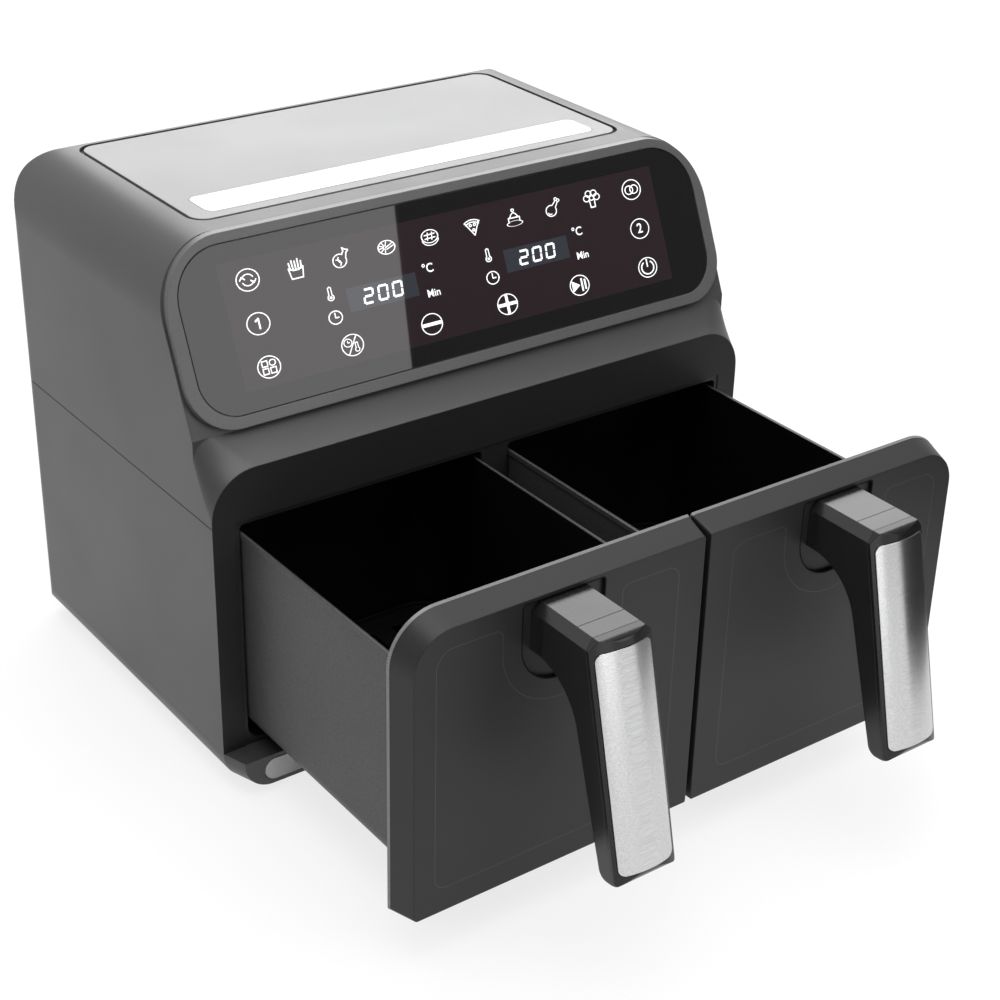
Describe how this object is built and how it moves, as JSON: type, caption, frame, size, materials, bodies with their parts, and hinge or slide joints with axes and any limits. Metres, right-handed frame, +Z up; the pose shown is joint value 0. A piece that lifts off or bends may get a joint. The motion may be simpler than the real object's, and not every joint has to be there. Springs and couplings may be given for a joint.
{
  "type": "dual-drawer air fryer",
  "caption": "Counter-top air fryer with a sloped touch panel, pull-out drawers with leaning grips, lift-out crisper trays and fan heaters inside.",
  "frame": {"origin": "middle of the overall box, on the ground under the feet", "axes": "+X to the right seen from the front, +Y to the back, +Z up"},
  "size_m": [0.38, 0.5092, 0.3175],
  "materials": {
    "housing": "fine grained satin",
    "chin_trim": "satin",
    "frame_black": "matt",
    "top_panel": "satin",
    "label": "gloss",
    "bezel": "satin",
    "panel_glass": "polished",
    "film": "gloss",
    "led": "gloss",
    "board": "matt",
    "rear_cover": "grained matt",
    "rubber": "matt",
    "screw": "satin",
    "sheet_steel": "satin",
    "heater_tube": "oxidised",
    "motor": "satin",
    "fan_metal": "satin",
    "fan_plastic": "matt",
    "front_plate": "satin",
    "nonstick": "nonstick coating",
    "nonstick_tray": "nonstick coating",
    "silicone": "matt",
    "handle_gloss": "gloss",
    "handle_cap": "satin",
    "grip_steel": "brushed"
  },
  "bodies": {
    "housing": {"upper_housing": "housing", "lower_housing_left": "housing", "lower_housing_right": "housing", "base_tray": "housing", "chin_trim": "chin_trim", "front_frame": "frame_black", "top_panel": "top_panel", "top_label": "label", "panel_bezel": "bezel", "panel_glass": "panel_glass", "display_film": "film", "led_displays": "led", "control_board": "board", "rear_cover": "rear_cover", "cord_gland": "rubber", "cover_screws": "screw", "feet": "rubber", "power_board": "board", "cavity_liner_left": "sheet_steel", "cavity_liner_right": "sheet_steel", "heater_left": "heater_tube", "heater_right": "heater_tube", "heater_guard_left": "sheet_steel", "heater_guard_right": "sheet_steel", "motor_bracket_left": "sheet_steel", "motor_bracket_right": "sheet_steel", "motor_left": "motor", "motor_right": "motor", "thermal_fuse_left": "fan_plastic", "thermal_fuse_right": "fan_plastic", "drawer_switch_left": "fan_plastic", "drawer_switch_right": "fan_plastic"},
    "left_drawer": {"drawer_front_left": "front_plate", "drawer_backing_left": "sheet_steel", "pan_left": "nonstick", "handle_arm_left": "handle_gloss", "handle_cap_left": "handle_cap", "grip_strip_left": "grip_steel"},
    "left_tray": {"crisper_tray_left": "nonstick_tray", "tray_pads_left": "silicone"},
    "left_rotor": {"rotor_shaft_left": "sheet_steel", "hot_fan_left": "fan_metal", "cooling_fan_left": "fan_plastic"},
    "right_drawer": {"drawer_front_right": "front_plate", "drawer_backing_right": "sheet_steel", "pan_right": "nonstick", "handle_arm_right": "handle_gloss", "handle_cap_right": "handle_cap", "grip_strip_right": "grip_steel"},
    "right_tray": {"crisper_tray_right": "nonstick_tray", "tray_pads_right": "silicone"},
    "right_rotor": {"rotor_shaft_right": "sheet_steel", "hot_fan_right": "fan_metal", "cooling_fan_right": "fan_plastic"}
  },
  "joints": [
    {"name": "left_drawer_slide", "type": "slide", "parent": "housing", "child": "left_drawer", "axis": [0, -1, 0], "range_m": [-0.172, 0.045]},
    {"name": "left_tray_lift", "type": "slide", "parent": "left_drawer", "child": "left_tray", "axis": [0, 0, 1], "range_m": [0, 0.09]},
    {"name": "left_fan_spin", "type": "hinge", "parent": "housing", "child": "left_rotor", "pos_m": [-0.0915, 0.13117, 0.2], "axis": [0, 0, 1], "continuous": true},
    {"name": "right_drawer_slide", "type": "slide", "parent": "housing", "child": "right_drawer", "axis": [0, -1, 0], "range_m": [-0.172, 0.045]},
    {"name": "right_tray_lift", "type": "slide", "parent": "right_drawer", "child": "right_tray", "axis": [0, 0, 1], "range_m": [0, 0.09]},
    {"name": "right_fan_spin", "type": "hinge", "parent": "housing", "child": "right_rotor", "pos_m": [0.0915, 0.13117, 0.2], "axis": [0, 0, 1], "continuous": true}
  ]
}
